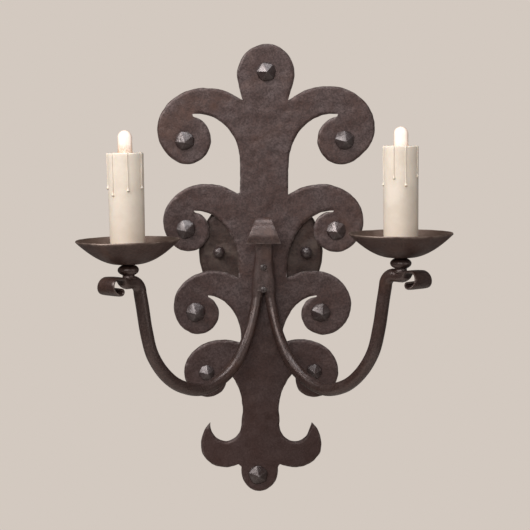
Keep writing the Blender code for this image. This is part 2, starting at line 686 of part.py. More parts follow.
# ---- wiring ----------------------------------------------------------------
def make_wiring(name, lamp, mats):
    """The lead held all the way from the lampholder to its splice cap in the canopy."""
    root, out = arm_axes(lamp)
    place = lamp_frame(lamp)
    turn_up = Vector((lamp.reach - 0.0024, tube_height(lamp) + 0.0009))
    tube_run = arm_route(lamp)[::3] + [turn_up]
    inside = [root + out * point.x + Vector((0.0, 0.0, point.y)) for point in tube_run]
    x, side = ARM_CENTRE_X, lamp.side
    canopy_run = [
        Vector((x + side * 0.0190, -0.0110, -0.0130)),
        Vector((x + side * 0.0135, -0.0120, -0.0215)),
        Vector((x + side * 0.0046, -0.0170, WIRE_HOLE_Z)),
        Vector((x + side * 0.0036, -0.0270, WIRE_HOLE_Z)),
        Vector((x + side * 0.0048, -0.0345, -0.0270)),
    ]
    lamp_run = [place @ Vector((0.0, 0.0, z)) for z in (-0.0120, 0.0, 0.0200, 0.0400, 0.0530)]
    route = smooth_curve(canopy_run + inside + lamp_run, 2)
    lead = bpy.data.curves.new(name + "_lead", "CURVE")
    lead.dimensions = "3D"
    lead.bevel_depth = WIRE_RADIUS
    lead.bevel_resolution = 2
    lead.use_fill_caps = True
    lead.render_resolution_u = 0
    spline = lead.splines.new("POLY")
    spline.points.add(len(route) - 1)
    for point, position in zip(spline.points, route):
        point.co = (*position, 1.0)
    lead.materials.append(mats["lead"])
    bpy.context.scene.collection.objects.link(bpy.data.objects.new(name + "_lead", lead))

    cap = [(0.0, 0.0200), (0.0026, 0.0195), (0.0048, 0.0), (0.0026, 0.0), (0.0022, 0.0060), (0.0, 0.0060)]
    start, towards = canopy_run[0], (canopy_run[0] - canopy_run[1]).normalized()
    turn = Vector((0.0, 0.0, 1.0)).rotation_difference(towards).to_matrix().to_4x4()
    cap_place = Matrix.Translation(start - towards * 0.0045) @ turn
    add_object(name + "_splice_cap", lathe(cap, 14, cap_place), mats["plastic"])


def main():
    clear_scene()
    mats = {
        "iron": make_material("wrought_iron", (0.085, 0.062, 0.055), 0.55, 0.6),
        "steel": make_material("zinc_steel", (0.55, 0.55, 0.54), 0.38, 1.0),
        "brass": make_material("brass", (0.72, 0.55, 0.28), 0.32, 1.0),
        "phenolic": make_material("phenolic", (0.03, 0.028, 0.026), 0.45, 0.0),
        "wax": make_material("ivory_resin", (0.82, 0.76, 0.62), 0.50, 0.0),
        "glass": make_material("bulb_glass", (0.95, 0.93, 0.88), 0.10, 0.0),
        "filament": make_material("filament", (1.0, 0.80, 0.50), 0.40, 0.0),
        "lead": make_material("lead_insulation", (0.62, 0.56, 0.44), 0.50, 0.0),
        "plastic": make_material("splice_cap", (0.75, 0.32, 0.08), 0.45, 0.0),
    }
    make_backplate(mats["iron"])
    make_nails(mats["iron"])
    make_canopy(mats["iron"])
    make_wall_fixings(mats["steel"], mats["iron"])
    make_strap(mats["iron"])
    make_strap_screws(mats["iron"], mats["steel"])
    for name, lamp in LAMPS.items():
        make_arm(name, lamp, mats["iron"])
        make_lamp(name, lamp, mats)
        make_wiring(name, lamp, mats)


main()
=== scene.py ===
import math
import random
from collections import namedtuple

import bmesh
import bpy
import numpy as np
from mathutils import Matrix, Vector, noise
from mathutils.geometry import delaunay_2d_cdt


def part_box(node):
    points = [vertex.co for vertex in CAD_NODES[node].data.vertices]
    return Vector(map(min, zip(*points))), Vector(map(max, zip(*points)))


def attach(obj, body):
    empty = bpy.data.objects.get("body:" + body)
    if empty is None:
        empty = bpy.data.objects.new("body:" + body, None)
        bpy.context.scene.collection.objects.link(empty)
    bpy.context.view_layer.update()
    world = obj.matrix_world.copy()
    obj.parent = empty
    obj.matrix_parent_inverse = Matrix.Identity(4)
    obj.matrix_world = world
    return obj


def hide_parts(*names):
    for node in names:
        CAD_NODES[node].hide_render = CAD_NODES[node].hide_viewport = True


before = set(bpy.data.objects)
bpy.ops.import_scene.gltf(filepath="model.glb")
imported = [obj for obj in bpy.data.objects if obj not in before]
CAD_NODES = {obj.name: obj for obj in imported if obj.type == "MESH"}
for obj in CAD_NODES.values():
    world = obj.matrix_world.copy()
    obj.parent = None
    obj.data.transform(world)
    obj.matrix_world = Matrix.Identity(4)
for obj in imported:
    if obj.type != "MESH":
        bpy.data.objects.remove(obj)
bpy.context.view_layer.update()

# ---- sizes in metres and angles in degrees ------------------------------------
# They repeat the CAD source, except that the candle covers flare a little towards their tops
# and the curls are drawn a little thinner.
ARM_ANGLE = 45.0
ARM_CENTRE_X = 0.0010
ARM_ROOT_X = 0.0066
ARM_RADIUS = 0.00635
ARM_ROOT_RADIUS = 0.0053
ARM_TAPER_REACH = 0.030
ARM_LOW = -0.1318               # lowest point of the centre line
ARM_RISE = 0.1165               # from there to the top, where the waypoints were set
ARM_BEND = 0.0110               # radius of the bend at the top
BALL_RADIUS = 0.0102
BALL_HEIGHT = 0.0104
GAP = 0.0003
CURL_RADIUS = 0.0077
CURL_HALF_WIDTH = 0.0140
CURL_HALF_THICKNESS = 0.0013
CURL_SPREAD = 0.042
CURL_REACH = 0.0203             # from the lamp axis to the middle of the curl
CURL_TIP = 0.0030               # radius of the curl's inner end
STRAP_BOTTOM = -0.0415
STRAP_TAPER_TOP = 0.010
STRAP_TOP_WIDTH = 0.0155
STRAP_BOTTOM_WIDTH = 0.0256
STRAP_DEPTH = 0.0142
STRAP_WALL = 0.003
STRAP_CREST = 0.0355
STRAP_CREST_BASE = 0.0240       # where the tail starts to roll forward
STRAP_CREST_RADIUS = 0.0085
STRAP_LIP = 0.0115
STRAP_CREST_HALF = 0.00825
STRAP_TAIL_HALF = 0.0175
PAN_RADIUS = 0.050
PAN_DEPTH = 0.0225
PAN_WALL = 0.0015
PAN_FLARE = 1.75
PAN_SEAT = 0.0105
PIPE_HOLE = 0.0051
SLEEVE_SEAT = 0.0031
SLEEVE_RADIUS = 0.0165
SLEEVE_BORE = 0.0130
SLEEVE_LENGTH = 0.1032
SLEEVE_SPREAD = {"left": 0.0010, "right": 0.0003}   # how much wider each cover is at its top
BULB_BASE = 0.0755
BULB_TOP = {"left": 0.1276, "right": 0.1246}

Lamp = namedtuple("Lamp", "side reach knee base_z lean")
# reach: from the arm's root to the lamp axis; knee: to the upright part of the arm;
# base_z: underside of the drip pan
LAMPS = {
    "left": Lamp(-1, 0.1730, 0.1583, -0.0014, 1.3),
    "right": Lamp(1, 0.1758, 0.1565, 0.0052, 0.3),
}
# Drips: angle round the sleeve from straight ahead, and length down from its top rim.
DRIPS = {
    "left": (
        (-76.0, 0.0349), (-41.0, 0.0415), (10.0, 0.0372),
        (63.0, 0.0352), (128.0, 0.0400), (-138.0, 0.0310),
    ),
    "right": (
        (-84.0, 0.0387), (-27.0, 0.0320), (12.0, 0.0386),
        (64.0, 0.0307), (150.0, 0.0360), (-128.0, 0.0420),
    ),
}

PLATE_LOW, PLATE_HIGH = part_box("backplate")
PLATE_FRONT, PLATE_BACK = PLATE_LOW.y, PLATE_HIGH.y


# ---- general helpers ----------------------------------------------------------
def rough(point, scale, seed=0.0):
    """Smooth noise from -1 to 1 whose features are about 1 / scale metres across."""
    return noise.noise(Vector(point) * scale + Vector((seed, 1.7 * seed, 0.3 * seed)))


def finish_piece(name, bm, mat, body, nodes=(), sharp=40.0):
    """Turn a bmesh into a piece that rides on its body and stands in for its CAD nodes."""
    bmesh.ops.recalc_face_normals(bm, faces=bm.faces)
    mesh = bpy.data.meshes.new(name)
    bm.to_mesh(mesh)
    bm.free()
    mesh.materials.append(mat)
    mesh.shade_smooth()
    mesh.set_sharp_from_angle(angle=math.radians(sharp))
    piece = bpy.data.objects.new(name, mesh)
    bpy.context.scene.collection.objects.link(piece)
    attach(piece, body)
    if nodes:
        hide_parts(*nodes)
    return piece


def smooth_curve(points, steps):
    """A Catmull-Rom curve through the points."""
    points = [Vector(point) for point in points]
    ends = [2 * points[0] - points[1]] + points + [2 * points[-1] - points[-2]]
    curve = []
    for p0, p1, p2, p3 in zip(ends, ends[1:], ends[2:], ends[3:]):
        for i in range(steps):
            t = i / steps
            curve.append(0.5 * (2 * p1 + (p2 - p0) * t + (2 * p0 - 5 * p1 + 4 * p2 - p3) * t * t
                                + (3 * p1 - 3 * p2 + p3 - p0) * t ** 3))
    curve.append(points[-1])
    return curve


def arc(centre, axes, start, end, count):
    """Points along an ellipse, from one angle to another."""
    points = []
    for i in range(count + 1):
        angle = math.radians(start + (end - start) * i / count)
        points.append((centre[0] + axes[0] * math.cos(angle), centre[1] + axes[1] * math.sin(angle)))
    return points


def smoothstep(low, high, value):
    """Ease from 0 at low to 1 at high; low may be the larger."""
    t = min(1.0, max(0.0, (value - low) / (high - low)))
    return t * t * (3.0 - 2.0 * t)


def facing_room(x, y, z):
    """Placement of a turned piece whose axis runs from the wall towards the room."""
    return Matrix.Translation((x, y, z)) @ Matrix.Rotation(math.radians(90.0), 4, "X")


def lathe(profile, segments, place, shape=None, bm=None):
    """Turn (radius, height) about the placement's Z; shape may move each finished local point."""
    bm = bm or bmesh.new()
    rings = []
    for radius, height in profile:
        ring = []
        for i in range(segments if radius > 1e-7 else 1):
            angle = 2.0 * math.pi * i / segments
            point = Vector((radius * math.cos(angle), radius * math.sin(angle), height))
            ring.append(bm.verts.new(place @ (shape(point) if shape else point)))
        rings.append(ring)
    pairs = list(zip(rings, rings[1:]))
    if profile[0][0] > 1e-7:
        pairs.append((rings[-1], rings[0]))
    for lower, upper in pairs:
        for i in range(segments):
            j = (i + 1) % segments
            corners = [lower[i % len(lower)], lower[j % len(lower)],
                       upper[j % len(upper)], upper[i % len(upper)]]
            face = list(dict.fromkeys(corners))
            if len(face) > 2:
                bm.faces.new(face)
    return bm


def loft(sections, bm=None):
    """Join closed rings of points, all of one length, and cap both ends."""
    bm = bm or bmesh.new()
    rings = [[bm.verts.new(point) for point in section] for section in sections]
    count = len(rings[0])
    for lower, upper in zip(rings, rings[1:]):
        for i in range(count):
            j = (i + 1) % count
            bm.faces.new((lower[i], lower[j], upper[j], upper[i]))
    bm.faces.new(rings[0])
    bm.faces.new(list(reversed(rings[-1])))
    return bm


# ---- materials ----------------------------------------------------------------
class Nodes:
    """Short ways to add and join shader nodes in one material."""

    def __init__(self, name):
        self.mat = bpy.data.materials.new(name)
        self.mat.use_nodes = True
        self.tree = self.mat.node_tree
        self.shader = self.tree.nodes["Principled BSDF"]
        self.place = self.tree.nodes.new("ShaderNodeTexCoord").outputs["Object"]

    def join(self, source, target):
        self.tree.links.new(source, target)

    def noise(self, scale, detail=4.0, roughness=0.55, distortion=0.0):
        node = self.tree.nodes.new("ShaderNodeTexNoise")
        node.inputs["Scale"].default_value = scale
        node.inputs["Detail"].default_value = detail
        node.inputs["Roughness"].default_value = roughness
        node.inputs["Distortion"].default_value = distortion
        self.join(self.place, node.inputs["Vector"])
        return node.outputs["Fac"]

    def dents(self, scale, smooth=0.7):
        node = self.tree.nodes.new("ShaderNodeTexVoronoi")
        node.feature = "SMOOTH_F1"
        node.inputs["Scale"].default_value = scale
        node.inputs["Smoothness"].default_value = smooth
        self.join(self.place, node.inputs["Vector"])
        return node.outputs["Distance"]

    def ramp(self, source, low, high, first=0.0, last=1.0):
        node = self.tree.nodes.new("ShaderNodeMapRange")
        node.interpolation_type = "SMOOTHSTEP"
        for socket, value in (("From Min", low), ("From Max", high), ("To Min", first), ("To Max", last)):
            node.inputs[socket].default_value = value
        self.join(source, node.inputs["Value"])
        return node.outputs["Result"]

    def maths(self, operation, first, second):
        node = self.tree.nodes.new("ShaderNodeMath")
        node.operation = operation
        for socket, value in zip(node.inputs, (first, second)):
            if isinstance(value, (int, float)):
                socket.default_value = value
            else:
                self.join(value, socket)
        return node.outputs[0]

    def mix(self, factor, first, second):
        node = self.tree.nodes.new("ShaderNodeMix")
        node.data_type = "RGBA"
        self.join(factor, node.inputs["Factor"])
        for socket, value in ((node.inputs[6], first), (node.inputs[7], second)):
            if isinstance(value, tuple):
                socket.default_value = (*value, 1.0)
            else:
                self.join(value, socket)
        return node.outputs[2]

    def bump(self, height, strength, distance, under=None):
        node = self.tree.nodes.new("ShaderNodeBump")
        node.inputs["Strength"].default_value = strength
        node.inputs["Distance"].default_value = distance
        self.join(height, node.inputs["Height"])
        if under is not None:
            self.join(under, node.inputs["Normal"])
        return node.outputs["Normal"]

    def worn_edges(self, low, high):
        geometry = self.tree.nodes.new("ShaderNodeNewGeometry")
        return self.ramp(geometry.outputs["Pointiness"], low, high)

    def facing_up(self):
        geometry = self.tree.nodes.new("ShaderNodeNewGeometry")
        split = self.tree.nodes.new("ShaderNodeSeparateXYZ")
        self.join(geometry.outputs["Normal"], split.inputs[0])
        return split.outputs["Z"]

    def height(self):
        split = self.tree.nodes.new("ShaderNodeSeparateXYZ")
        self.join(self.place, split.inputs[0])
        return split.outputs["Z"]


def forged_iron(name, warm=0.0, light=1.0, roughness=(0.42, 0.62), dent=1.0, painted_low_shade=0.0, up_faces_lighter=0.0, gloss=0.5):
    """Dark purplish-brown waxed iron: hammer dents, grain, rusty clouds and rubbed edges.

    The low-shade setting paints shade that darkens it towards the bottom, where less light falls; the
    up-faces setting makes the faces that look up lighter.
    """
    n = Nodes(name)

    def tone(red, green, blue):
        return (red * light * (1.0 + 0.15 * warm),
                green * light * (1.0 - 0.06 * warm),
                blue * light * (1.0 - 0.25 * warm))

    clouds = n.ramp(n.noise(30.0, 6.0, 0.6), 0.36, 0.66)
    colour = n.mix(clouds, tone(0.070, 0.038, 0.033), tone(0.088, 0.060, 0.058))
    specks = n.ramp(n.noise(170.0, 8.0, 0.65), 0.50, 0.70, 0.0, 0.50)
    colour = n.mix(specks, colour, tone(0.118, 0.082, 0.076))
    grain = n.ramp(n.noise(520.0, 6.0, 0.8), 0.44, 0.57, 0.0, 0.80)
    colour = n.mix(grain, colour, tone(0.034, 0.020, 0.018))
    rust = n.ramp(n.noise(19.0, 7.0, 0.62, 0.6), 0.50, 0.76, 0.0, 0.45 + 0.3 * warm)
    colour = n.mix(rust, colour, tone(0.108, 0.052, 0.034))
    soot = n.ramp(n.noise(64.0, 6.0, 0.6), 0.60, 0.76, 0.0, 0.45)
    colour = n.mix(soot, colour, tone(0.034, 0.027, 0.026))
    # painted shade: darker and redder towards the bottom, standing in for light that falls off low down
    if painted_low_shade:
        low_shade_mask = n.ramp(n.height(), -0.02, -0.20, 0.0, painted_low_shade)
        colour = n.mix(low_shade_mask, colour, tone(0.036, 0.014, 0.011))
    # lighter colour on the faces that look up
    if up_faces_lighter:
        colour = n.mix(n.ramp(n.facing_up(), 0.15, 0.85, 0.0, up_faces_lighter), colour, tone(0.150, 0.115, 0.098))
    rubbed = n.maths("MULTIPLY", n.worn_edges(0.51, 0.58), n.ramp(n.noise(110.0, 5.0), 0.35, 0.60, 0.0, 0.80))
    colour = n.mix(rubbed, colour, tone(0.180, 0.150, 0.140))
    n.join(colour, n.shader.inputs["Base Color"])
    n.shader.inputs["Metallic"].default_value = 0.35
    n.shader.inputs["Specular IOR Level"].default_value = gloss
    n.join(n.ramp(n.noise(75.0, 6.0, 0.6), 0.30, 0.70, *roughness), n.shader.inputs["Roughness"])
    low = n.bump(n.dents(85.0), 0.50 * dent, 0.0016)
    middle = n.bump(n.noise(260.0, 5.0, 0.65), 0.45, 0.0006, low)
    n.join(n.bump(n.noise(800.0, 4.0, 0.7), 0.45, 0.0003, middle), n.shader.inputs["Normal"])
    return n.mat


def plain_metal(name, colour, low, high):
    """Plated or turned metal with a faint grain, for the small fittings."""
    n = Nodes(name)
    dull = tuple(0.72 * channel for channel in colour)
    n.join(n.mix(n.ramp(n.noise(160.0, 5.0), 0.35, 0.70), colour, dull), n.shader.inputs["Base Color"])
    n.shader.inputs["Metallic"].default_value = 1.0
    n.join(n.ramp(n.noise(400.0, 4.0), 0.3, 0.7, low, high), n.shader.inputs["Roughness"])
    n.join(n.bump(n.noise(1200.0, 3.0), 0.15, 0.0001), n.shader.inputs["Normal"])
    return n.mat


def moulded(name, colour, roughness):
    """Moulded plastic or rubber with a fine grain."""
    n = Nodes(name)
    dark = tuple(0.80 * channel for channel in colour)
    n.join(n.mix(n.ramp(n.noise(120.0, 4.0), 0.4, 0.7), colour, dark), n.shader.inputs["Base Color"])
    low, high = roughness - 0.05, roughness + 0.08
    n.join(n.ramp(n.noise(300.0, 3.0), 0.3, 0.7, low, high), n.shader.inputs["Roughness"])
    n.join(n.bump(n.noise(1500.0, 2.0), 0.12, 0.0001), n.shader.inputs["Normal"])
    return n.mat


def ivory_wax():
    """Matt ivory candle cover, a little warmer low down, with a faint mottle."""
    n = Nodes("ivory_wax")
    colour = n.mix(n.ramp(n.noise(60.0, 5.0, 0.6), 0.35, 0.70), (0.74, 0.66, 0.565), (0.67, 0.585, 0.49))
    colour = n.mix(n.ramp(n.height(), 0.075, 0.010, 0.0, 0.55), colour, (0.62, 0.51, 0.41))
    n.join(colour, n.shader.inputs["Base Color"])
    n.shader.inputs["Subsurface Weight"].default_value = 0.12
    n.shader.inputs["Subsurface Radius"].default_value = (0.004, 0.002, 0.001)
    n.join(n.ramp(n.noise(240.0, 4.0), 0.3, 0.7, 0.42, 0.55), n.shader.inputs["Roughness"])
    low = n.bump(n.noise(55.0, 4.0), 0.25, 0.0012)
    n.join(n.bump(n.noise(700.0, 3.0), 0.15, 0.0002, low), n.shader.inputs["Normal"])
    return n.mat


def lit_bulb():
    """Warm frosted glass, brightest up its middle and amber with darker streaks near the base."""
    n = Nodes("lit_bulb")
    up = n.ramp(n.height(), 0.104, 0.118)
    streaks = n.ramp(n.noise(420.0, 2.0, 0.5, 1.5), 0.40, 0.62)
    amber = n.mix(streaks, (0.46, 0.28, 0.17), (0.80, 0.62, 0.48))
    colour = n.mix(up, amber, (0.80, 0.64, 0.55))
    n.join(colour, n.shader.inputs["Base Color"])
    facing = n.tree.nodes.new("ShaderNodeLayerWeight")
    facing.inputs["Blend"].default_value = 0.35
    edge = n.ramp(facing.outputs["Facing"], 0.05, 0.60)
    n.join(n.mix(edge, (1.0, 0.90, 0.83), colour), n.shader.inputs["Emission Color"])
    core = n.ramp(edge, 0.0, 1.0, 0.50, 0.14)
    n.join(n.maths("MULTIPLY", core, n.ramp(up, 0.0, 1.0, 0.55, 1.0)), n.shader.inputs["Emission Strength"])
    n.shader.inputs["Roughness"].default_value = 0.12
    return n.mat


# ---- the plate ----------------------------------------------------------------
def front_outline(node):
    """The longest closed edge of a CAD plate's front face, as (x, z) points in order."""
    mesh = CAD_NODES[node].data
    edges = {}
    for face in mesh.polygons:
        corners = [mesh.vertices[i].co for i in face.vertices]
        if max(corner.y for corner in corners) > PLATE_FRONT + 1e-5:
            continue
        keys = [(round(c.x, 6), round(c.z, 6)) for c in corners]
        for a, b in zip(keys, keys[1:] + keys[:1]):
            if (b, a) in edges:
                del edges[b, a]
            else:
                edges[a, b] = None
    after = {a: b for a, b in edges}
    loops = []
    while after:
        start, point = after.popitem()
        loop = [start]
        while point != start:
            loop.append(point)
            point = after.pop(point)
        loops.append(loop)
    return max(loops, key=len)


def rounded_loop(points, step, corner=38.0):
    """Run a smooth curve through the loop, keep its sharp corners, and space points evenly."""
    points = [Vector(point) for point in points]
    count = len(points)
    sharp = []
    for i, point in enumerate(points):
        before, after = point - points[i - 1], points[(i + 1) % count] - point
        sharp.append(math.degrees(before.angle(after)) > corner)
    result, pinned = [], []
    for i, point in enumerate(points):
        j = (i + 1) % count
        chord = points[j] - point
        first = chord if sharp[i] else tangent(points[i - 1], point, points[j]) * chord.length
        last = chord if sharp[j] else tangent(point, points[j], points[(j + 1) % count]) * chord.length
        pieces = max(1, round(chord.length / step))
        for k in range(pieces):
            t = k / pieces
            result.append(point * (2 * t ** 3 - 3 * t * t + 1) + first * (t ** 3 - 2 * t * t + t)
                          + points[j] * (3 * t * t - 2 * t ** 3) + last * (t ** 3 - t * t))
            pinned.append(sharp[i] and k == 0)
    pinned = np.array(pinned)
    return fair(np.array([tuple(point) for point in result]), pinned), pinned


def fair(loop, pinned, rounds=36, eased=5.0):
    """Even out the curvature without shrinking the outline.

    The pinned corners stay where they are, and the smoothing eases in over the steps beside them.
    """
    count = len(loop)
    steps = np.abs(np.arange(count)[:, None] - np.flatnonzero(pinned)[None, :])
    ease = np.clip(np.minimum(steps, count - steps).min(axis=1) / eased, 0.0, 1.0)[:, None]
    for turn in range(2 * rounds):
        pull = 0.5 if turn % 2 == 0 else -0.515
        middle = (np.roll(loop, 1, axis=0) + np.roll(loop, -1, axis=0)) / 2
        loop = loop + pull * ease * (middle - loop)
    return [Vector(point) for point in loop]


def tangent(before, point, after):
    """Unit-speed tangent of the circle-like curve through three points."""
    first, second = (point - before), (after - point)
    a, b = first.length, second.length
    slope = (first / a) * b + (second / b) * a
    return slope / (a + b)


def inside(points, loop):
    """Which of the points lie inside the closed loop."""
    x, z = points[:, 0], points[:, 1]
    result = np.zeros(len(points), bool)
    for (x0, z0), (x1, z1) in zip(loop, np.roll(loop, -1, axis=0)):
        if z0 == z1:
            continue
        crosses = (z0 > z) != (z1 > z)
        result ^= crosses & (x < x0 + (z - z0) * (x1 - x0) / (z1 - z0))
    return result


def edge_distance(points, loop):
    """Distance from each point to the nearest point of the loop."""
    result = np.empty(len(points))
    for i in range(0, len(points), 512):
        gap = points[i:i + 512, None, :] - loop[None, :, :]
        result[i:i + 512] = np.sqrt((gap ** 2).sum(-1).min(-1))
    return result


def fill_sheet(loop, rows, spacing, margin):
    """Triangles over the outline: rows of points that follow the edge, then an even field."""
    ahead, behind = np.roll(loop, -1, axis=0), np.roll(loop, 1, axis=0)
    along = ahead - behind
    along /= np.linalg.norm(along, axis=1)[:, None]
    inward = np.stack([-along[:, 1], along[:, 0]], 1)
    area = (loop[:, 0] * ahead[:, 1] - ahead[:, 0] * loop[:, 1]).sum()
    inward *= 1.0 if area > 0 else -1.0
    extra = []
    for row in rows:
        points = loop + inward * row
        extra.append(points[edge_distance(points, loop) > row * 0.93])
    low, high = loop.min(0), loop.max(0)
    xs, zs = np.arange(low[0], high[0], spacing), np.arange(low[1], high[1], spacing * 0.866)
    field = np.array([(x + (spacing / 2 if k % 2 else 0.0), z) for k, z in enumerate(zs) for x in xs])
    field = field[edge_distance(field, loop) > margin]
    points = np.concatenate(extra + [field])
    points = points[inside(points, loop)]
    coords = [Vector(point) for point in np.concatenate([loop, points])]
    rim = [(i, (i + 1) % len(loop)) for i in range(len(loop))]
    verts, _, faces, *_ = delaunay_2d_cdt(coords, rim, [], 1, 1e-7)
    return np.array([tuple(v) for v in verts]), faces


def make_plate(mat, nails):
    """Thick forged plate: hammered chamfer along every edge, soft dents and dished nail seats."""
    loop, pinned = rounded_loop(front_outline("backplate"), 0.0012)
    ragged = []
    for point, after in zip(loop, loop[1:] + loop[:1]):
        along = (after - point).normalized()
        spot = (point.x, 0.0, point.y)
        wave = 0.00036 * rough(spot, 85.0) + 0.00034 * rough(spot, 210.0, 5.0)
        ragged.append(point + Vector((-along.y, along.x)) * wave)
    loop = np.array([tuple(point) for point in ragged])
    tips = loop[pinned]

    front, front_faces = fill_sheet(loop, (0.0007, 0.0015, 0.0024, 0.0035), 0.0026, 0.0046)
    back, back_faces = fill_sheet(loop, (0.0010,), 0.0060, 0.0035)
    seats = [((low.x + high.x) / 2, (low.z + high.z) / 2, (high.x - low.x) / 2) for low, high in nails]
    depth, crisp = edge_distance(front, loop), edge_distance(front, tips)
    bm = bmesh.new()
    front_verts = []
    for (x, z), d, tip in zip(front, depth, crisp):
        spot = (x, 0.0, z)
        width = 0.0021 + 0.0010 * rough(spot, 75.0, 2.0) + 0.0011 * rough(spot, 240.0, 7.0)
        bevel = 0.0016 + 0.0008 * rough(spot, 110.0, 9.0) + 0.0010 * rough(spot, 280.0, 3.0)
        y = bevel * max(0.0, 1.0 - d / max(width, 0.0008)) ** 1.4 * smoothstep(0.0, 0.007, tip)
        y += 0.00030 * rough(spot, 26.0) + 0.00020 * rough(spot, 70.0, 4.0)
        for nail_x, nail_z, radius in seats:
            far = math.hypot(x - nail_x, z - nail_z) / (radius * 1.35)
            y += 0.00055 * math.exp(-far ** 4)
        front_verts.append(bm.verts.new((x, PLATE_FRONT + max(0.0, y + 0.0001), z)))
    back_depth = edge_distance(back, loop)
    back_verts = [bm.verts.new((x, PLATE_BACK - 0.0005 * max(0.0, 1.0 - d / 0.001), z))
                  for (x, z), d in zip(back, back_depth)]
    for face in front_faces:
        bm.faces.new([front_verts[i] for i in face])
    for face in back_faces:
        bm.faces.new([back_verts[i] for i in reversed(face)])
    count = len(loop)
    for i in range(count):
        j = (i + 1) % count
        bm.faces.new((front_verts[i], back_verts[i], back_verts[j], front_verts[j]))
    return finish_piece("forged_plate", bm, mat, "sconce", ["backplate"], 52.0)


# ---- nails --------------------------------------------------------------------
def make_nail(node, mat):
    """A nail head beaten into uneven facets, with its shank and flat tail behind the plate."""
    rng = random.Random(node)
    low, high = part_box(node)
    x, z, radius = (low.x + high.x) / 2, (low.z + high.z) / 2, (high.x - low.x) / 2
    base, height = PLATE_FRONT, PLATE_FRONT - low.y
    turn = 99.0 + rng.uniform(-16.0, 16.0)

    def ring(count, share, out, jitter):
        points = []
        for i in range(count):
            angle = math.radians(turn + 360.0 * (i + rng.uniform(-jitter, jitter)) / count)
            reach = radius * out * rng.uniform(1.0 - jitter * 0.25, 1.0)
            points.append((x + reach * math.cos(angle), base - height * share, z + reach * math.sin(angle)))
        return points

    cloud = ring(10, -0.05, 1.04, 0.15) + ring(5, 0.22, 0.99, 0.12)
    cloud.append((x + radius * rng.uniform(0.02, 0.20), base - height, z - radius * rng.uniform(0.02, 0.18)))
    bm = bmesh.new()
    hull = bmesh.ops.convex_hull(bm, input=[bm.verts.new(point) for point in cloud])
    loose = [item for item in hull["geom_interior"] if isinstance(item, bmesh.types.BMVert)]
    bmesh.ops.delete(bm, geom=loose, context="VERTS")
    bmesh.ops.dissolve_limit(bm, angle_limit=math.radians(8.0), verts=bm.verts, edges=bm.edges)
    bmesh.ops.bevel(bm, geom=list(bm.edges), offset=radius * 0.045, segments=2, affect="EDGES", profile=0.6)
    tail = facing_room(x, PLATE_BACK - 0.0004, z)
    end = high.y - PLATE_BACK + 0.0004
    lathe([(0.0, 0.0), (0.0036, 0.0), (0.0033, -end * 0.6), (0.0022, -end), (0.0, -end)], 14, tail, bm=bm)
    return finish_piece("head_" + node, bm, mat, "sconce", [node], 24.0)


# ---- central strap ------------------------------------------------------------
def strap_half_width(z):
    """Half of the strap's width, which tapers from its bottom up to its neck."""
    share = min(1.0, max(0.0, (STRAP_TAPER_TOP - z) / (STRAP_TAPER_TOP - STRAP_BOTTOM)))
    return (STRAP_TOP_WIDTH + (STRAP_BOTTOM_WIDTH - STRAP_TOP_WIDTH) * share) / 2


def bar_ring(centre, across, normal, half_width, half_thickness, soften, count=28):
    """A flat bar's section with rounded corners: a superellipse."""
    ring = []
    for i in range(count):
        angle = 2.0 * math.pi * i / count
        c, s = math.cos(angle), math.sin(angle)
        ring.append(centre + across * (half_width * math.copysign(abs(c) ** soften, c))
                    + normal * (half_thickness * math.copysign(abs(s) ** soften, s)))
    return ring


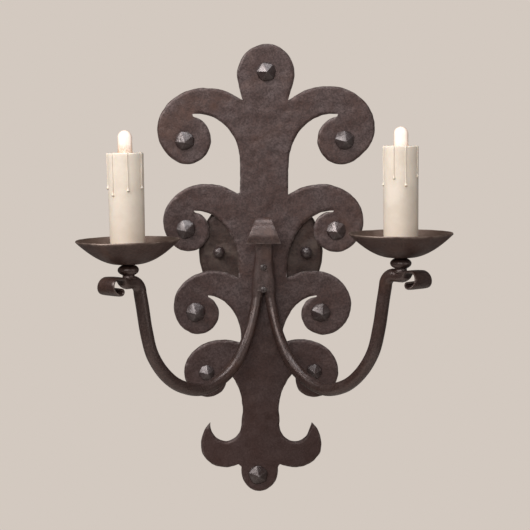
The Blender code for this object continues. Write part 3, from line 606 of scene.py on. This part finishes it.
def make_strap(mat):
    """The two tube ends drawn together upwards, and a flared tail rolled forward above them."""
    front = PLATE_FRONT - STRAP_DEPTH
    mid = front + STRAP_WALL / 2
    turn = mid - STRAP_CREST_RADIUS
    path = [(mid + 0.0007, -0.0385), (mid + 0.0007, -0.030), (mid + 0.0005, -0.015)]
    path += [(mid + 0.0002, 0.0), (mid, 0.012)]
    crest_axes = (STRAP_CREST_RADIUS, STRAP_CREST - STRAP_CREST_BASE)
    path += arc((turn, STRAP_CREST_BASE), crest_axes, 0.0, 140.0, 8)[1:]
    path += [(mid - 0.0200, 0.0265), (mid - 0.0223, 0.0192), (mid - 0.0212, STRAP_LIP)]
    route = smooth_curve(path, 5)
    across = Vector((1.0, 0.0, 0.0))
    sections = []
    for i, point in enumerate(route):
        before, after = route[max(i - 1, 0)], route[min(i + 1, len(route) - 1)]
        along = (after - before).normalized()
        share = max(0.0, (STRAP_CREST - point.y) / (STRAP_CREST - STRAP_LIP)) if point.x < turn else 0.0
        width = STRAP_CREST_HALF + (STRAP_TAIL_HALF - STRAP_CREST_HALF) * share
        width -= 0.0022 * smoothstep(0.004, -0.036, point.y)
        thick = STRAP_WALL / 2 * (1.0 - 0.35 * share)
        centre = Vector((ARM_CENTRE_X, point.x, point.y))
        dent = 0.00010 * rough(centre, 90.0) * share
        normal = Vector((0.0, -along.y, along.x))
        sections.append(bar_ring(centre + normal * dent, across, normal, width, thick, 0.45))
    bm = loft(sections)

    rear, low, high = PLATE_FRONT - GAP, STRAP_BOTTOM - 0.0040, 0.0150
    middle, half_depth = (front + 0.0004 + rear) / 2, (rear - front - 0.0004) / 2
    for side in (-1, 1):
        sections = []
        for i in range(25):
            z = low + (high - low) * i / 24
            drawn = smoothstep(STRAP_BOTTOM - 0.001, STRAP_BOTTOM + 0.016, z)
            tube = ARM_ROOT_RADIUS + 0.0003 * smoothstep(low, STRAP_BOTTOM, z) - 0.0001
            inner = ARM_ROOT_X - tube - 0.0030 * smoothstep(low, STRAP_BOTTOM + 0.010, z)
            outer = ARM_ROOT_X + tube + (strap_half_width(z) - ARM_ROOT_X - tube) * drawn
            depth = tube + (half_depth - tube) * drawn
            y = PLATE_FRONT - GAP - ARM_RADIUS
            y += (middle - y) * drawn
            centre = Vector((ARM_CENTRE_X + side * (inner + outer) / 2, y, z))
            half = (outer - inner) / 2 * (1.0 + 0.02 * rough(centre, 90.0, side) * drawn)
            ahead = Vector((0.0, 1.0, 0.0))
            sections.append(bar_ring(centre, across, ahead, half, depth, 1.0 - 0.26 * drawn))
        loft(sections, bm)
    return finish_piece("forged_strap", bm, mat, "sconce", ["stem_strap"], 50.0)


# ---- arms ---------------------------------------------------------------------
def tube_height(base_z):
    """Height of the arm's centre line where it passes under the ball."""
    return base_z - BALL_HEIGHT - 2 * GAP - ARM_RADIUS


def arm_path(lamp):
    """Centre line in the arm's own plane as (reach, height), and where the flattening starts."""
    reach, knee = lamp.reach, lamp.knee
    top = tube_height(lamp.base_z)
    rise = (top - ARM_LOW) / ARM_RISE
    waypoints = [
        (0.0, STRAP_BOTTOM - 2 * GAP), (0.0010, -0.0490), (0.0064, -0.0680), (0.0148, -0.0880),
        (0.0283, -0.1080), (0.0494, -0.1235), (0.0760, ARM_LOW), (knee - 0.0535, -0.1262),
        (knee - 0.0320, ARM_LOW + 0.0200 * rise), (knee - 0.0158, ARM_LOW + 0.0412 * rise),
        (knee - 0.0080, ARM_LOW + 0.0652 * rise), (knee - 0.0032, ARM_LOW + 0.0900 * rise),
        (knee, top - ARM_BEND),
    ]
    route = smooth_curve(waypoints, 8)
    bend = arc((knee + ARM_BEND, top - ARM_BEND), (ARM_BEND, ARM_BEND), 180.0, 90.0, 10)
    route += [Vector(point) for point in bend[1:]]
    flatten = len(route)
    centre = (reach + CURL_REACH, top + ARM_RADIUS - CURL_HALF_THICKNESS - CURL_RADIUS)
    tip = (centre[0], centre[1] - CURL_RADIUS + CURL_TIP)
    outer = [tuple(route[-1]), (reach + 0.0040, top)]
    outer += [(reach + 0.0075, top + 0.0020), (reach + 0.0115, top + 0.0044)]
    outer += arc(centre, (CURL_RADIUS, CURL_RADIUS), 90.0, -88.0, 8)
    outer += arc(tip, (CURL_TIP, CURL_TIP), -125.0, -235.0, 3)
    return route + smooth_curve(outer, 5)[1:], flatten


def make_arm(name, mat):
    """Swept tube whose end is beaten flat beyond the bend and rolled into a curl."""
    lamp = LAMPS[name]
    side = lamp.side
    angle = math.radians(ARM_ANGLE)
    out = Vector((side * math.sin(angle), -math.cos(angle), 0.0))
    across = Vector((-out.y, out.x, 0.0))
    root = Vector((ARM_CENTRE_X + side * ARM_ROOT_X, PLATE_FRONT - GAP - ARM_RADIUS, 0.0))
    route, flatten = arm_path(lamp)
    travelled = 0.0
    sections = []
    for i, point in enumerate(route):
        before, after = route[max(i - 1, 0)], route[min(i + 1, len(route) - 1)]
        along = (after - before).normalized()
        normal = -along.y * out + Vector((0.0, 0.0, along.x))
        centre = root + out * point.x + Vector((0.0, 0.0, point.y))
        if i >= flatten:
            travelled += (point - route[i - 1]).length
        past = travelled - (lamp.reach - lamp.knee - ARM_BEND)
        grown = smoothstep(0.0, ARM_TAPER_REACH, point.x)
        tube = ARM_ROOT_RADIUS + (ARM_RADIUS - ARM_ROOT_RADIUS) * grown
        flat = smoothstep(0.002, 0.013, past)
        width = tube + (CURL_HALF_WIDTH - tube) * min(1.0, max(0.0, past) / CURL_SPREAD) ** 1.3
        thick = tube + (CURL_HALF_THICKNESS - tube) * flat
        wave = 1.0 + 0.022 * rough(centre, 60.0, side)
        sections.append(bar_ring(centre, across, normal, width * wave, thick * wave, 1.0 - 0.50 * flat))
    return finish_piece("forged_arm_" + name, loft(sections), mat, "sconce",
                        [name + "_arm"], 42.0)


# ---- lamps --------------------------------------------------------------------
def lamp_place(name):
    """The underside of the drip pan, with Z along the leaning lamp axis."""
    lamp = LAMPS[name]
    angle = math.radians(ARM_ANGLE)
    x = ARM_CENTRE_X + lamp.side * (ARM_ROOT_X + lamp.reach * math.sin(angle))
    y = PLATE_FRONT - GAP - ARM_RADIUS - lamp.reach * math.cos(angle)
    return Matrix.Translation((x, y, lamp.base_z)) @ Matrix.Rotation(math.radians(-lamp.lean), 4, "Y")


def make_pan(name, mat):
    """Beaten dish with a thin turned rim."""
    place = lamp_place(name)
    side = LAMPS[name].side
    under = [(PIPE_HOLE, 0.0), (PAN_SEAT * 0.75, 0.0)]
    steps = 22
    for i in range(steps + 1):
        t = i / steps
        under.append((PAN_SEAT + (PAN_RADIUS - PAN_SEAT) * t, PAN_DEPTH * t ** PAN_FLARE))
    over = []
    for radius, height in under:
        flank = smoothstep(PAN_SEAT, PAN_RADIUS, radius)
        over.append((radius - 0.0007 * flank, height + PAN_WALL * (1.0 - 0.35 * flank)))
    over[-1] = (PAN_RADIUS - 0.0004, PAN_DEPTH + 0.0010)
    over.insert(-1, (PAN_RADIUS - 0.0011, PAN_DEPTH + 0.0009))

    def beaten(point):
        flank = smoothstep(0.018, PAN_RADIUS, point.xy.length)
        dent = 0.00022 * rough((point.x, point.y, 0.0), 95.0, 3.0 + side)
        lift = 0.00045 * rough((point.x, point.y, 0.0), 22.0, 8.0 + side)
        return Vector((point.x, point.y, point.z + flank * (dent + lift)))

    bm = lathe(under + over[::-1], 112, place, beaten)
    return finish_piece("dished_pan_" + name, bm, mat, "sconce", [name + "_drip_pan"], 40.0)


def make_sleeve(name, mat):
    """Candle cover with a softened rim and thin drips that end in small beads."""
    place = lamp_place(name)
    low, high = SLEEVE_SEAT, SLEEVE_SEAT + SLEEVE_LENGTH
    lip = 0.0011
    spread = SLEEVE_SPREAD[name]
    outside = [(SLEEVE_RADIUS + spread * i / 24, low + (high - lip - low) * i / 24) for i in range(25)]
    rim = arc((SLEEVE_RADIUS + spread - lip, high - lip), (lip, lip), 0.0, 90.0, 5)[1:]
    inside_face = [(SLEEVE_BORE + 0.0006, high), (SLEEVE_BORE, high - 0.0006), (SLEEVE_BORE, low)]

    def cast(point):
        wave = 1.0 + 0.0035 * rough((point.x, point.y, point.z), 45.0, 4.0 + LAMPS[name].side)
        lift = 0.0004 * rough((point.x, point.y, 0.0), 120.0, 6.0) * smoothstep(high - 0.004, high, point.z)
        return Vector((point.x * wave, point.y * wave, point.z + lift))

    bm = lathe(outside + rim + inside_face, 72, place, cast)
    for angle, length in DRIPS[name]:
        add_drip(bm, place, math.radians(angle), length, high, SLEEVE_RADIUS + spread)
    return finish_piece("candle_" + name, bm, mat, name + "_sleeve",
                        [name + "_candle_sleeve"], 60.0)


def add_drip(bm, place, angle, length, top, face):
    """One run of wax: over the rim, down the side, and a bead at its end."""
    outward = Vector((math.sin(angle), -math.cos(angle), 0.0))
    aside = Vector((math.cos(angle), math.sin(angle), 0.0))
    sections = []
    steps = 26
    for i in range(steps + 1):
        t = i / steps
        drop = length * t
        radius = 0.00095 - 0.00045 * smoothstep(0.0, 0.12, t)
        radius += 0.00095 * math.exp(-((length - drop - 0.0016) / 0.0013) ** 2)
        radius *= math.sqrt(max(0.02, 1.0 - max(0.0, (drop - length + 0.0012) / 0.0012) ** 2))
        sway = 0.0006 * rough((0.0, 0.0, drop), 60.0, angle * 7.0)
        over = 0.0010 * (1.0 - smoothstep(0.0, 0.002, drop))
        reach = face + 0.0002 - over - 0.0002 * drop / length
        centre = outward * reach + aside * sway + Vector((0.0, 0.0, top + 0.0002 - drop))
        ring = []
        for k in range(10):
            turn = 2.0 * math.pi * k / 10
            around = outward * (radius * math.cos(turn)) + aside * (radius * math.sin(turn))
            ring.append(place @ (centre + around))
        sections.append(ring)
    loft(sections, bm)


def bulb_radius(t):
    """Outside of the glass from its neck, t = 0, to its tip, t = 1: a slim torpedo."""
    neck, belly, shoulder = 0.0049, 0.0090, 0.0070
    if t < 0.12:
        return neck
    if t < 0.40:
        return neck + (belly - neck) * (0.5 - 0.5 * math.cos(math.pi * (t - 0.12) / 0.28))
    if t < 0.66:
        return shoulder + (belly - shoulder) * (0.5 + 0.5 * math.cos(math.pi * (t - 0.40) / 0.26))
    if t < 0.86:
        return shoulder
    return shoulder * math.sqrt(max(0.0, 1.0 - ((t - 0.86) / 0.14) ** 2.0))


def make_bulb(name, mat):
    """Thin glass envelope, closed at its tip and open at its neck."""
    place = lamp_place(name)
    top = BULB_TOP[name]
    height = top - BULB_BASE
    levels = [i / 40 for i in range(36)] + [0.90, 0.925, 0.945, 0.96, 0.975, 0.988, 0.996]
    outside = [(bulb_radius(t), BULB_BASE + height * t) for t in levels] + [(0.0, top)]
    inner = [(max(0.0005, radius - 0.0005), z) for radius, z in outside[:-1]] + [(0.0, top - 0.0007)]
    bm = lathe(inner[::-1] + outside, 40, place)
    return finish_piece("glass_" + name, bm, mat, name + "_bulb",
                        [name + "_bulb_glass"], 60.0)


def make_ball(name, mat):
    """Squat forged ball between the arm and the pan."""
    half = BALL_HEIGHT / 2
    side_face = arc((0.0, -half - GAP), (BALL_RADIUS, half * 1.12), -62.0, 62.0, 18)
    side_face = [(radius, min(-GAP, max(-BALL_HEIGHT - GAP, height))) for radius, height in side_face]

    def forged(point):
        wave = 1.0 + 0.03 * rough((point.x, point.y, point.z), 110.0, 2.0 + LAMPS[name].side)
        return Vector((point.x * wave, point.y * wave, point.z))

    neck_end = -BALL_HEIGHT - 0.0036
    neck = [(PIPE_HOLE, neck_end), (0.0072, neck_end)]
    neck += [(0.0060, neck_end + 0.0014), (0.0057, -BALL_HEIGHT - 0.0006)]
    profile = neck + side_face[1:] + [(PIPE_HOLE, -GAP)]
    bm = lathe(profile, 44, lamp_place(name), forged)
    return finish_piece("forged_ball_" + name, bm, mat, "sconce", [name + "_spacer_ball"])


def make_ball_nut(name, mat):
    """Round nut on the canopy, turned from the CAD nut's own box."""
    low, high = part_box(name + "_ball_nut")
    radius = (high.x - low.x) / 2
    flat = radius * math.cos(math.radians(30.0))
    place = facing_room((low.x + high.x) / 2, high.y, (low.z + high.z) / 2)
    outside = arc((0.0, flat), (radius, radius), -60.0, 90.0, 18)
    profile = [(0.0, 0.0065), (0.0023, 0.0065), (0.0023, 0.0)] + outside
    return finish_piece("round_nut_" + name, lathe(profile, 36, place), mat, name + "_nut",
                        [name + "_ball_nut"], 50.0)


# ---- studio -------------------------------------------------------------------
def softbox(name, location, target, size, energy, colour):
    """A rectangular area light turned towards its target."""
    light = bpy.data.lights.new(name, "AREA")
    light.shape = "RECTANGLE"
    light.size, light.size_y = size
    light.energy = energy
    light.color = colour
    lamp = bpy.data.objects.new(name, light)
    lamp.location = location
    lamp.rotation_euler = (Vector(target) - lamp.location).to_track_quat("-Z", "Y").to_euler()
    bpy.context.scene.collection.objects.link(lamp)


def make_camera_and_lights():
    scene = bpy.context.scene
    camera = bpy.data.objects.new("camera", bpy.data.cameras.new("camera"))
    camera.data.sensor_width = 36.0
    camera.data.lens = 133.6
    camera.location = (0.0025, -2.02697, 0.15486)
    camera.rotation_euler = (math.radians(85.2), 0.0, 0.0)
    scene.collection.objects.link(camera)
    scene.camera = camera
    scene.view_settings.view_transform = "Standard"

    softbox("key", (-1.25, -0.85, 1.15), (0.0, 0.0, 0.0), (0.65, 0.65), 27.5, (1.0, 0.98, 0.97))
    softbox("front", (-0.40, -1.90, 0.80), (0.0, 0.0, 0.0), (1.2, 0.9), 19.0, (1.0, 0.97, 0.95))
    softbox("fill", (1.45, -1.30, 0.15), (0.0, 0.0, -0.05), (1.1, 1.3), 5.0, (1.0, 0.95, 0.91))
    softbox("top", (0.10, -0.45, 1.30), (0.0, -0.05, 0.0), (0.9, 0.5), 9.0, (0.94, 0.97, 1.0))


def make_world():
    """A plain warm backdrop for the camera, and a dimmer neutral one for the lighting."""
    world = bpy.data.worlds.new("studio")
    world.use_nodes = True
    nodes, links = world.node_tree.nodes, world.node_tree.links
    nodes.clear()
    output = nodes.new("ShaderNodeOutputWorld")
    mix = nodes.new("ShaderNodeMixShader")
    path = nodes.new("ShaderNodeLightPath")
    seen, lighting = nodes.new("ShaderNodeBackground"), nodes.new("ShaderNodeBackground")
    seen.inputs["Color"].default_value = (0.651, 0.584, 0.527, 1.0)
    lighting.inputs["Color"].default_value = (0.75, 0.70, 0.66, 1.0)
    lighting.inputs["Strength"].default_value = 0.20
    links.new(path.outputs["Is Camera Ray"], mix.inputs["Fac"])
    links.new(lighting.outputs[0], mix.inputs[1])
    links.new(seen.outputs[0], mix.inputs[2])
    links.new(mix.outputs[0], output.inputs["Surface"])
    bpy.context.scene.world = world


def make_floor():
    """A plain pale disc well below the sconce."""
    bm = bmesh.new()
    bmesh.ops.create_circle(bm, cap_ends=True, segments=96, radius=0.85)
    mesh = bpy.data.meshes.new("floor")
    bm.to_mesh(mesh)
    bm.free()
    floor = bpy.data.objects.new("floor", mesh)
    floor.location = (0.0, -0.15, -0.62)
    n = Nodes("floor_paint")
    n.join(n.mix(n.noise(6.0, 3.0), (0.58, 0.53, 0.49), (0.62, 0.57, 0.53)), n.shader.inputs["Base Color"])
    n.shader.inputs["Roughness"].default_value = 0.8
    mesh.materials.append(n.mat)
    bpy.context.scene.collection.objects.link(floor)


def paint_frame(finishes):
    """Give every CAD node that still shows its own procedural finish."""
    for name, node in CAD_NODES.items():
        if node.hide_render:
            continue
        short = name.split("_", 1)[1] if name.startswith(("left_", "right_")) else name
        mat = finishes[short]
        for material_slot in node.material_slots:
            material_slot.material = mat
        if not node.material_slots:
            node.data.materials.append(mat)


def main():
    # the plate's iron carries painted shade that darkens it towards the bottom
    iron = forged_iron("forged_iron", painted_low_shade=0.68)
    canopy_iron = forged_iron("canopy_iron", warm=0.6, light=0.58)
    # the pans' faces that look up are coloured lighter
    pan_iron = forged_iron("pan_iron", warm=0.65, light=0.88, roughness=(0.36, 0.54), dent=0.8, up_faces_lighter=0.70)
    strap_iron = forged_iron("strap_iron", warm=0.2, light=0.98, roughness=(0.38, 0.54), dent=0.5, gloss=0.8)
    tube_iron = forged_iron("tube_iron", warm=0.4, light=0.82, roughness=(0.25, 0.38), dent=0.5, gloss=0.8)
    # the nails carry the same painted shade low down
    nail_iron = forged_iron("nail_iron", warm=-0.25, light=0.76, roughness=(0.25, 0.38), dent=0.25,
                            painted_low_shade=0.5, gloss=0.85)
    zinc = plain_metal("zinc_plate", (0.56, 0.56, 0.55), 0.30, 0.46)
    brass = plain_metal("brass", (0.72, 0.55, 0.28), 0.24, 0.38)

    nail_nodes = sorted(name for name in CAD_NODES if name.startswith("nail_"))
    make_plate(iron, [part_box(name) for name in nail_nodes])
    for name in nail_nodes:
        make_nail(name, nail_iron)
    make_strap(strap_iron)
    wax, glow = ivory_wax(), lit_bulb()
    for name in LAMPS:
        make_arm(name, tube_iron)
        make_ball(name, tube_iron)
        make_ball_nut(name, nail_iron)
        make_pan(name, pan_iron)
        make_sleeve(name, wax)
        make_bulb(name, glow)
    paint_frame({
        "canopy": canopy_iron,
        "strap_screw_upper": nail_iron, "strap_screw_lower": nail_iron,
        "crossbar": zinc, "stud": zinc, "strap_nut_upper": zinc, "strap_nut_lower": zinc,
        "threaded_pipe": nail_iron, "lock_nut": zinc,
        "socket_shell": brass, "centre_contact": brass, "bulb_cap": brass,
        "lampholder": moulded("phenolic", (0.035, 0.030, 0.028), 0.42),
        "lead": moulded("lead_insulation", (0.62, 0.56, 0.44), 0.50),
        "splice_cap": moulded("splice_cap", (0.75, 0.30, 0.07), 0.42),
        "filament": moulded("glass_stem", (1.0, 0.82, 0.55), 0.30),
    })
    make_camera_and_lights()
    make_world()
    make_floor()


main()
